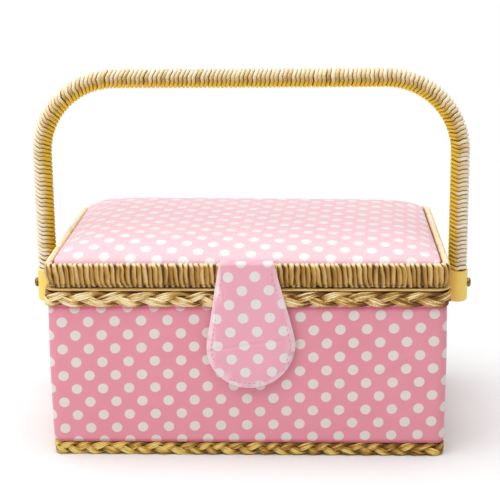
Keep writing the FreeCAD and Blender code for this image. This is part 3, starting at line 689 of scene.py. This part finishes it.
def straw_line(bm, length, steps, wide, thick, tone):
    """A straight straw along X in the bmesh, wide in Z and thick in Y. Returns its points."""
    measure = bm.verts.layers.float_vector.get("straw") or bm.verts.layers.float_vector.new("straw")
    made = []
    for vert, along, angle in rolled_grid(bm, steps):
        vert.co = Vector((along * length, math.sin(angle) * thick / 2, math.cos(angle) * wide / 2))
        vert[measure] = (angle * wide / 2 / MM + 7 * tone, vert.co.x / MM, tone)
        made.append(vert)
    return made


# %% Plaits
STRAWS_PER_STRAND = 4
STRANDS = 3
PLAIT_STEP = 1.3 * MM
STRAND_SHARE = 0.36
LIFT_SHARE = 0.26
TURN_SHARP = 0.96
TONE_RANGE = (-0.22, 0.2)
# Painted light: how much lighter the plaits are painted on the left side of the box and darker on the
# right.
LEFT_LIGHT_TONE = 0.17
# Painted shade: the tone of a dark tape behind the plait, so that the gaps between strands look shaded.
TAPE_SHADE_TONE = -0.6
TAPE_DEPTH = 0.47
EDGE_PRESS = 2.6
HINGE_X = 70 * MM
HINGE_REACH = 13.5 * MM
HINGE_FACE = 79.95 * MM


def clear_hinges(bm):
    """Presses straw flat behind the leaves of the hinges."""
    for vert in bm.verts:
        if abs(abs(vert.co.x) - HINGE_X) < HINGE_REACH and vert.co.y > 0:
            vert.co.y = min(vert.co.y, HINGE_FACE)


def plait(name, material, node, droop, trim, wall, corner, depth, periods, phase):
    """A flat plait round a wall's half sides, from droop below a node to trim under the node's top."""
    low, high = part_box(node)[0].z - droop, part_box(node)[1].z - trim
    centre_x, centre_y = (side + depth / 2 for side in wall)
    length = way_round(centre_x, centre_y, corner)
    strand_wide = STRAND_SHARE * (high - low)
    straw_step = strand_wide / STRAWS_PER_STRAND
    reach = (high - low - strand_wide) / 2
    steps = round(length / PLAIT_STEP)
    wave = 2 * math.pi * periods / length
    made = bmesh.new()
    measure = made.verts.layers.float_vector.new("straw")
    for strand in range(STRANDS):
        for number in range(STRAWS_PER_STRAND):
            tone = random.uniform(*TONE_RANGE)
            beside = (number - (STRAWS_PER_STRAND - 1) / 2) * straw_step
            straw_points = straw_line(made, length, steps, straw_step * 1.15, depth * 0.46, tone)
            for vert in straw_points:
                around = wave * vert.co.x / periods
                ring = Vector((math.cos(around), math.sin(around), 0))
                own = Vector((0, 0, strand * 9 + number * 2))
                shared = Vector((0, 0, 30 + strand * 9))
                turn = wave * vert.co.x + phase + strand * 2 * math.pi / STRANDS
                turn += 0.3 * noise.noise(ring * 6) + 0.3 * noise.noise(ring * 9 + shared)
                sharp = TURN_SHARP * math.sin(turn)
                swing = reach * math.asin(sharp) / math.asin(TURN_SHARP)
                slope = TURN_SHARP * math.cos(turn) / math.sqrt(1 - sharp * sharp)
                lean = math.atan(reach * wave * slope / math.asin(TURN_SHARP))
                stray = 0.3 * straw_step * noise.noise(ring * 40 + own)
                over = math.sin(2 * turn)
                full = 1 + 0.22 * over + 0.3 * noise.noise(ring * 12 + shared)
                across = (vert.co.z + beside + stray) * full
                # Painted shade and light: strands where they pass under are painted darker, and the
                # plait is painted lighter on the left of the box and darker on the right, as light from
                # the left falls on it.
                patch = 0.4 * noise.noise(ring * 16 + 2 * own) + LEFT_LIGHT_TONE * ring.y
                vert[measure] += Vector((0, 0, 0.28 * over - 0.08 + patch))
                vert.co.x -= across * math.sin(lean)
                vert.co.y -= LIFT_SHARE * depth * over
                rise = (swing + across * math.cos(lean)) / (high - low)
                rise = math.sin(EDGE_PRESS * min(max(rise, -0.6), 0.6)) / 2
                vert.co.z = (low + high) / 2 + rise * (high - low)
    # Painted shade: a dark tape behind the strands stands in for the shade seen through the gaps.
    for vert in strip(made, length, 0.9 * low + 0.1 * high, 0.1 * low + 0.9 * high, steps, 1):
        vert.co.y += TAPE_DEPTH * depth
        vert[measure] = (vert.co.z / MM, vert.co.x / MM, TAPE_SHADE_TONE)
    round_the_box(made, centre_x, centre_y, corner)
    clear_hinges(made)
    for vert in made.verts:
        vert.co.z = max(vert.co.z, 0)
    piece(name, mesh_of(made, name), material, "box", "straw", node)


random.seed(11)
plait("top_plait", plait_finish, "top_braid", droop=0.4 * MM, trim=1.1 * MM,
      wall=(118.1 * MM, 78.1 * MM), corner=6.2 * MM, depth=2.9 * MM, periods=16, phase=0.4)
plait("base_plait", base_plait_finish, "base_braid", droop=0, trim=0.9 * MM,
      wall=(115.95 * MM, 75.95 * MM), corner=4.2 * MM, depth=2.7 * MM, periods=25, phase=1.0)

# %% [markdown]
# ## The band on the mouth
# Six fine straws lie side by side on top of the walls and hide the raw edges of card and cloth. The
# outermost shows as a thin line over the plait.

# %% Mouth band
BAND_STRAWS = 6
BAND_PROUD = 2.0 * MM
BAND_WIDTH = 7.6 * MM
BAND_CORNER = 4 * MM
BAND_STEPS = 320
band_low, band_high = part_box("mouth_binding")
band_x, band_y = (side + BAND_PROUD - BAND_WIDTH / 2 for side in half_sides("mouth_binding"))
band_step = BAND_WIDTH / BAND_STRAWS
band_way = way_round(band_x, band_y, BAND_CORNER)
bm = bmesh.new()
for number in range(BAND_STRAWS):
    straw_points = straw_line(bm, band_way, BAND_STEPS, band_high.z - band_low.z, band_step * 1.1,
                              random.uniform(0, 0.3))
    shift = (number - (BAND_STRAWS - 1) / 2) * band_step
    bmesh.ops.translate(bm, vec=(0, shift, (band_low.z + band_high.z) / 2), verts=straw_points)
round_the_box(bm, band_x, band_y, BAND_CORNER)
clear_hinges(bm)
piece("mouth_band", mesh_of(bm, "mouth_band"), plait_finish, "box", "straw", "mouth_binding")

# %% [markdown]
# ## Wound straw
# The lid's rim and the handle are wound with one long straw, turn beside turn. A ring of points that
# creeps along an axis while it turns about it makes that coil. The coil is pushed into the
# section of the rim, a tall rounded bar, or left round for the handle. Small smooth noise along
# the turns makes them lean and spread as hand work does.

# %% Coil tool
def coil(turns, steps, wide, thick):
    """One long straw. Its spots are vertex, turns so far, and how far beside and above its line."""
    made = bmesh.new()
    measure = made.verts.layers.float_vector.new("straw")
    tint = made.verts.layers.float.new("tint")
    spots = [(vert, along * turns, math.cos(angle) * wide / 2, math.sin(angle) * thick / 2)
             for vert, along, angle in rolled_grid(made, turns * steps)]
    return made, measure, tint, spots


# %% [markdown]
# ## The rim of the lid
# The straw goes up the outside, over the top and down the inside of a wooden hoop. The turns bulge at
# the top and draw in at the bottom, and they don't touch everywhere, so dark gaps show.

# %% Rim
RIM_STEPS = 20
RIM_PITCH = 3.1 * MM
RIM_SQUARE = 4.0
RIM_HALF = 2.5 * MM
RIM_CORNER = 5.5 * MM
STRAW_THICK = 1.5 * MM
STRAW_WIDE = 2.8 * MM
DRAWN_IN = 1.6 * MM
RIM_LEAN = 0.9 * MM
RIM_STRAY = 0.7 * MM
RIM_WAVE = 0.8 * MM
RIM_BOW = 1.5 * MM
rim_low, rim_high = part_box("lid_rim")
rim_x, rim_y = (side - RIM_HALF for side in half_sides("lid_rim"))
rim_way = way_round(rim_x, rim_y, RIM_CORNER)
rim_turns = round(rim_way / RIM_PITCH)


def drift(place, layer=0):
    """Smooth noise at a place, in one of several layers."""
    return noise.noise(place + Vector((0, 0, layer)))


bm, measure, tint, spots = coil(rim_turns, RIM_STEPS, STRAW_WIDE, STRAW_THICK)
half_y = RIM_HALF - STRAW_THICK / 2
half_z = (rim_high.z - rim_low.z) / 2 - STRAW_THICK / 2
for vert, turn, beside, out in spots:
    angle = 2 * math.pi * turn
    cos, sin = math.cos(angle), math.sin(angle)
    loop = Vector((math.cos(angle / rim_turns), math.sin(angle / rim_turns), 0)) * rim_turns / 6.3
    y = half_y * math.copysign(abs(sin) ** (2 / RIM_SQUARE), -sin)
    z = half_z * math.copysign(abs(cos) ** (2 / RIM_SQUARE), cos)
    normal = Vector((math.copysign(abs(sin) ** 1.5, -sin) / half_y,
                     math.copysign(abs(cos) ** 1.5, cos) / half_z)).normalized()
    level = z / half_z
    width = 1 + 0.35 * drift(loop * 2.3) - 0.2 * ease((level - 0.6) / 0.4)
    shift = RIM_LEAN * drift(loop * 1.1, 5) * level + RIM_STRAY * drift(loop * 1.7, 9)
    shift += RIM_WAVE * drift(Vector((loop.x * 2, loop.y * 2, z * 240)))
    shift += RIM_BOW * drift(loop * 0.21, 20) * (1 - level ** 2)
    out *= 1 + 0.55 * beside / (STRAW_WIDE / 2)
    draw = ease((-level - 0.1) / 0.9) * DRAWN_IN * (y < 0)
    # Painted highlight: the top of the rim is painted paler, and cream where the tint says, as the
    # overhead light makes it. The turn under the bottom is a little paler too.
    lit_top_and_pale_bottom = 0.35 * ease((level - 0.75) / 0.25) + 0.2 * ease((-level - 0.8) / 0.2)
    # Painted light and shade: one edge of each turn is painted lighter and the other darker, as the
    # raised edge is lit and the tucked edge shaded.
    tone = 0.3 * drift(loop * 2.9, 2) + lit_top_and_pale_bottom + 0.55 * beside / RIM_PITCH
    vert[tint] = 0.8 * ease((level - 0.9) / 0.1)
    vert[measure] = (math.atan2(out, beside) * 1.5 + 11 * math.floor(turn), angle * 5, tone)
    vert.co = Vector((turn * rim_way / rim_turns + beside * width + shift,
                      y + normal.x * out + draw, (rim_low.z + rim_high.z) / 2 + z + normal.y * out))
round_the_box(bm, rim_x, rim_y, RIM_CORNER)
clear_hinges(bm)
piece("rim_winding", mesh_of(bm, "rim_winding"), rim_straw_finish, "lid", "straw", "lid_rim")

# %% [markdown]
# ## The straw on the handle
# The handle's turns lie close together. Each turn slopes on the outer half, more on the left than on
# the right, jumps back at a seam along the front and the back, where it was pulled tight, and slopes
# again on the inner half, which is a deeper gold.

# %% Handle straw
HANDLE_STEPS = 24
LEG_X = 131.6 * MM
LEG_START = 95.5 * MM
BEND_Z = 171.5 * MM
HANDLE_BEND = 47 * MM
BAR_LENGTH = 169.2 * MM
HANDLE_PITCH = 2.7 * MM
WINDING_RADIUS = 5.2 * MM
HANDLE_WIDE = 2.5 * MM
HANDLE_THICK = 2.0 * MM
HANDLE_STRAY = 0.35 * MM
SEAM_JUMP = 1.4 * MM
LEFT_SLOPE = 2.2 * MM
SLOPE_LOSS = 2.4 * MM
handle_way = 2 * (BEND_Z - LEG_START) + math.pi * HANDLE_BEND + BAR_LENGTH
handle_turns = round(handle_way / HANDLE_PITCH)
bm, measure, tint, spots = coil(handle_turns, HANDLE_STEPS, HANDLE_WIDE, HANDLE_THICK)
for vert, turn, beside, out in spots:
    angle = 2 * math.pi * turn
    outer = math.sin(angle)
    on_leg = ease((abs(turn / handle_turns - 0.5) - 0.28) / 0.14)
    # Painted light: the outer side of each turn, which is the top of the bar, is painted lighter as
    # light falls on it. The legs are painted lighter to make up for the overhead light that reaches them
    # less. The drift is random tone.
    tone = 0.3 * drift(Vector((turn * 0.9, 3, 0))) + 0.3 * outer + 0.2 * on_leg
    vert[measure] = (math.atan2(out, beside) * 1.3 + 11 * math.floor(turn), turn * 32, tone)
    vert[tint] = min(max((-outer - 0.1) / 0.5, 0), 1)
    straight = turn * handle_way / handle_turns
    slope = LEFT_SLOPE - SLOPE_LOSS * ease((straight / handle_way - 0.4) / 0.4)
    kink = slope * max(outer, 0) * ease(min(turn, handle_turns - turn) / 3)
    kink += SEAM_JUMP * ease((0.1 - outer) / 0.2) * (1 + outer)
    stray = HANDLE_STRAY * drift(Vector((turn * 0.8, 0, 0)))
    width = 1 + 0.2 * drift(Vector((turn * 0.7, 5, 0)))
    vert.co = Vector((straight + beside * width + stray + kink, -outer * (WINDING_RADIUS + out),
                      math.cos(angle) * (WINDING_RADIUS + out)))
bmesh.ops.remove_doubles(bm, verts=bm.verts[:], dist=1e-7)
bmesh.ops.holes_fill(bm, edges=bm.edges[:], sides=STRAW_SIDES)
bend_along(bm, [BEND_Z - LEG_START, BAR_LENGTH, BEND_Z - LEG_START], HANDLE_BEND, -1,
           (-LEG_X, LEG_START), math.pi / 2)
bmesh.ops.rotate(bm, matrix=Matrix.Rotation(math.pi / 2, 3, "X"), verts=bm.verts)
piece("handle_straw", mesh_of(bm, "handle_straw"), handle_straw_finish, "handle", "straw",
      "handle_winding")

# %% [markdown]
# ## The tab
# The tab is two layers of cotton sewn back to back over a stiff core, with a row of stitches just
# inside its rolled edge. It comes out of the slit behind the rim, folds over the rim and hangs down the
# front, where a magnet holds it. It is drawn flat first, as it was cut: a disc whose upper half is
# stretched up to the root. Rings inset from the edge carry the roll and the stitch line. Then every
# point is laid along the path that the cloth takes.

# %% Tab outline
TAB_ROUND = 26.3 * MM
TAB_CENTRE = 70.8 * MM
TAB_HALF_TOP = 16 * MM
TAB_FOLD = 121.5 * MM
TAB_END = 129.3 * MM
TAB_SIDES = 120
CREASE_Z = 71.8 * MM
CREASE_SLOPE = 0.147
FOLD_CUTS = 116.6 * MM
INSETS = [0.35, 0.45, 0.6, 0.7, 0.45, 0.45, 0.45, 0.6, 1.2, 2.5]
fold_corner = Vector((TAB_HALF_TOP, TAB_FOLD - TAB_CENTRE))
side_angle = math.atan2(fold_corner.y, fold_corner.x) - math.acos(TAB_ROUND / fold_corner.length)
side_normal = Vector((math.cos(side_angle), math.sin(side_angle)))
outline = [side_normal * TAB_ROUND, fold_corner, Vector((TAB_HALF_TOP, TAB_END - TAB_CENTRE)),
           Vector((0, TAB_END - TAB_CENTRE))]
outline_length = sum((b - a).length for a, b in zip(outline, outline[1:]))

bm = bmesh.new()
bm.loops.layers.uv.new("cloth")
edge_highlight = bm.verts.layers.float.new("edge_highlight")
bmesh.ops.create_circle(bm, cap_ends=True, segments=TAB_SIDES, radius=TAB_ROUND)
for vert in bm.verts:
    angle = math.atan2(vert.co.y, abs(vert.co.x))
    if angle > side_angle:
        left = (angle - side_angle) / (math.pi / 2 - side_angle) * outline_length
        for a, b in zip(outline, outline[1:]):
            if left <= (b - a).length + 1e-9:
                spot = a.lerp(b, left / (b - a).length)
                vert.co.x, vert.co.y = math.copysign(spot.x, vert.co.x), spot.y
                break
            left -= (b - a).length
for inset in INSETS:
    middle = max(bm.faces, key=lambda face: face.calc_area())
    bmesh.ops.inset_region(bm, faces=[middle], thickness=inset * MM, use_even_offset=True)
across_crease = Vector((-CREASE_SLOPE, 1, 0)).normalized()
# Cuts give the cloth points to bend at: a few down its length and width, and many at fold and crease.
cuts = [((0, z * MM - TAB_CENTRE, 0), (0, 1, 0)) for z in range(50, 116, 6)]
cuts += [((0, FOLD_CUTS + n * 0.45 * MM - TAB_CENTRE, 0), (0, 1, 0)) for n in range(28)]
cuts += [((x * MM, 0, 0), (1, 0, 0)) for x in range(-20, 21, 5)]
cuts += [((0, CREASE_Z + n * 0.6 * MM - TAB_CENTRE, 0), across_crease) for n in range(-4, 5)]
for place, normal in cuts:
    bmesh.ops.bisect_plane(bm, geom=bm.verts[:] + bm.edges[:] + bm.faces[:], dist=1e-6,
                           plane_co=place, plane_no=normal)
tab_area = sum(face.calc_area() for face in bm.faces)
print("tab cut from", round(tab_area * 1e6), "square mm")

# %% Tab in place
TAB_MIDDLE = -82.35 * MM
ROLL = 1.4 * MM
STITCH_IN = 3.0 * MM
FOLD_RADIUS = 1.3 * MM
FOLD_START = 119.65 * MM
OVER_RIM = 5.0 * MM
TUCK_RADIUS = 0.8 * MM


def edge_gap(x, along):
    """How far a point of the flat tab lies from the cut edge."""
    if along > TAB_FOLD - TAB_CENTRE:
        return TAB_HALF_TOP - abs(x)
    if math.atan2(along, abs(x)) > side_angle:
        return TAB_ROUND - side_normal.dot(Vector((abs(x), along)))
    return TAB_ROUND - math.hypot(x, along)


def sway(z):
    """The tab hangs a little to the right of the middle."""
    return (0.9 + 1.9 * ease((120 * MM - z) / (45 * MM)) - ease((76 * MM - z) / (30 * MM))) * MM


def along_fold(height):
    """The place and the outward direction, both as y and z, at a height of the flat tab."""
    if height <= FOLD_START:
        return Vector((TAB_MIDDLE, height)), Vector((-1, 0))
    turn = (height - FOLD_START) / FOLD_RADIUS
    centre = Vector((TAB_MIDDLE + FOLD_RADIUS, FOLD_START))
    if turn <= math.pi / 2:
        way = Vector((-math.cos(turn), math.sin(turn)))
        return centre + FOLD_RADIUS * way, way
    left = height - FOLD_START - FOLD_RADIUS * math.pi / 2
    if left <= OVER_RIM:
        return centre + Vector((left, FOLD_RADIUS)), Vector((0, 1))
    turn = min((left - OVER_RIM) / TUCK_RADIUS, math.pi / 2)
    way = Vector((math.sin(turn), math.cos(turn)))
    down = max(left - OVER_RIM - TUCK_RADIUS * math.pi / 2, 0)
    centre += Vector((OVER_RIM, FOLD_RADIUS - TUCK_RADIUS - down))
    return centre + TUCK_RADIUS * way, way


map_cloth(bm, lambda point: (point.x + sway(point.y + TAB_CENTRE), point.y + TAB_CENTRE))
front_points = set(grow(bm))
for vert in bm.verts:
    gap = max(edge_gap(vert.co.x, vert.co.y), 0)
    height = vert.co.y + TAB_CENTRE
    thin = ease((height - 110 * MM) / (8 * MM))
    roll = math.sqrt(1 - (1 - min(gap / ROLL, 1)) ** 2)
    groove = 0.42 * math.exp(-((gap - STITCH_IN) / (0.55 * MM)) ** 2) * (1 - thin)
    puff = 0.18 * ease((gap - STITCH_IN) / (6 * MM)) * (1 - thin)
    from_crease = height - CREASE_Z - CREASE_SLOPE * vert.co.x
    crease = 0.4 * math.exp(-(from_crease / (0.9 * MM)) ** 2) * ease(gap / (4 * MM))
    if vert in front_points:
        out = (1.1 * (1 - thin) + 0.62 * thin) * roll - groove + puff - crease
    else:
        out = -(1.05 * (1 - thin) + 0.62 * thin) * roll
    # Painted highlight: the rolled edge is painted paler, as the light catching it makes it.
    vert[edge_highlight] = 0.9 * math.exp(-(gap / (1.0 * MM)) ** 2)
    place, way = along_fold(height)
    spot = place + way * out * MM
    vert.co = Vector((vert.co.x + sway(height), spot.x, spot.y))
tab = piece("tab_cotton", mesh_of(bm, "tab_cotton"), tab_cotton, None, "dot_cloth",
            "flap_face", "flap_backing", "flap_root", "flap_stiffener")
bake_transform(tab)

# %% [markdown]
# ## Stitches
# A sewing machine leaves dashes of thread that dip into the cloth between each other. Each dash is a
# small ball drawn out to the length of a stitch, laid in the groove along the edge.

# %% Stitches
STITCH_STEP = 3.1 * MM
STITCH_SIZE = Vector((1.05, 0.26, 0.24)) * MM
thread, tree, shader = start_material("cotton_thread", Roughness=0.7, Sheen_Weight=0.3)
source = add(tree, "TexCoord").outputs["Object"]
# The twist of the thread is 0.2 mm long, drawn longer so that it shows.
THREAD_TWIST = 0.5 * MM
twist = add(tree, "TexWave", {"Vector": source, "Scale": 1 / (THREAD_TWIST * WAVE_CYCLES),
                              "Distortion": 1.0}, bands_direction="DIAGONAL").outputs["Fac"]
tree.links.new(coated(tree, "#CF7797", (twist, "#E69BB5")), shader.inputs["Base Color"])

inner = TAB_ROUND - STITCH_IN
side_run = (116 * MM - TAB_CENTRE - inner * math.sin(side_angle)) / math.cos(side_angle)
arc_run = inner * (math.pi + 2 * side_angle)
count = round((2 * side_run + arc_run) / STITCH_STEP)
bm = bmesh.new()
for number in range(count):
    way = (number + 0.5) * (2 * side_run + arc_run) / count
    from_middle = way - side_run - arc_run / 2
    mirror = math.copysign(1, from_middle)
    angle = min(abs(from_middle), arc_run / 2) / inner - math.pi / 2
    past = max(abs(from_middle) - arc_run / 2, 0)
    x = inner * math.cos(angle) - past * math.sin(angle)
    along = inner * math.sin(angle) + past * math.cos(angle)
    ball = bmesh.ops.create_icosphere(bm, subdivisions=1, radius=1.0)["verts"]
    bmesh.ops.scale(bm, vec=STITCH_SIZE, verts=ball)
    bmesh.ops.rotate(bm, matrix=Matrix.Rotation(-mirror * (angle + math.pi / 2), 3, "Y"), verts=ball)
    height = along + TAB_CENTRE
    bmesh.ops.translate(bm, vec=(mirror * x + sway(height), TAB_MIDDLE - 0.76 * MM, height), verts=ball)
stitches = piece("tab_stitches", mesh_of(bm, "tab_stitches"), thread, None, "dot_cloth")
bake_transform(stitches)

# %% [markdown]
# ## Finishes of the hard parts
# The parts that the CAD model gives their true shape keep it. They need only what the eye expects of
# each stuff: fibres in card, grain in wood, a faint ripple in moulded plastic, cloudy wear on brass.

# %% Hard finishes
def speckled(name, size, dark, light, depth, stretch=(1, 1, 1), **sockets):
    """A finish whose colour and height follow noise of a real size, drawn out by stretch."""
    made, tree, shader = start_material(name, **sockets)
    source = add(tree, "TexCoord").outputs["Object"]
    drawn = add(tree, "Mapping", {"Vector": source, "Scale": stretch}).outputs["Vector"]
    cloud = add(tree, "TexNoise", {"Vector": drawn, "Scale": 1 / size, "Detail": 4.0,
                                   "Roughness": 0.6}).outputs["Fac"]
    dress(tree, shader, coated(tree, dark, (cloud, light)), cloud, 0.3, depth)
    return made


finishes = {
    # Grey board is pressed from waste paper: matt, with fibres about 2 mm long.
    "grey_card": speckled("grey_board", 2 * MM, "#8F8A80", "#B5AFA4", 0.2 * MM, Roughness=0.9),
    # Split willow has grain about 1.5 mm wide that runs along the stick. It is painted dark brown,
    # a painted shade for the gaps between the straw turns where it shows.
    "pale_wood": speckled("split_willow", 1.5 * MM, "#4F3410", "#86602C", 0.3 * MM, (0.08, 1, 1),
                          Roughness=0.65),
    # Moulded polypropylene is smooth with a soft shine and a ripple of a few millimetres.
    "yellow_plastic": speckled("yellow_polypropylene", 4 * MM, "#FFDC5E", "#FFE474", 0.1 * MM,
                               Roughness=0.35),
    # Old brass is brown and cloudy, brighter where fingers rub it.
    "dark_brass": speckled("aged_brass", 1.5 * MM, "#6E5A34", "#A68B52", 0.1 * MM, Metallic=1.0,
                           Roughness=0.38),
    # Rolled hinge brass is yellow with a fine lengthwise rub.
    "hinge_brass": speckled("rolled_brass", 1 * MM, "#B08A3E", "#D9B766", 0.1 * MM, (0.1, 1, 1),
                            Metallic=1.0, Roughness=0.32),
    # Nickel plate over steel is pale grey and a little brushed.
    "plated_steel": speckled("nickel_plate", 0.8 * MM, "#A9A9A6", "#D6D6D2", 0.05 * MM, (0.15, 1, 1),
                             Metallic=1.0, Roughness=0.3),
    # Clear polystyrene lets most light through, and its faces shine.
    "clear_plastic": speckled("clear_polystyrene", 6 * MM, "#EAF1F5", "#F7FAFC", 0.05 * MM,
                              Roughness=0.08, Alpha=0.3, IOR=1.49),
}
finished = 0
for part in frame["record"]["subparts"]:
    if part["material_slot"] in finishes:
        for place in frame["nodes"][part["node"]].material_slots:
            place.material = finishes[part["material_slot"]]
            finished += 1
print("hard parts finished:", finished)
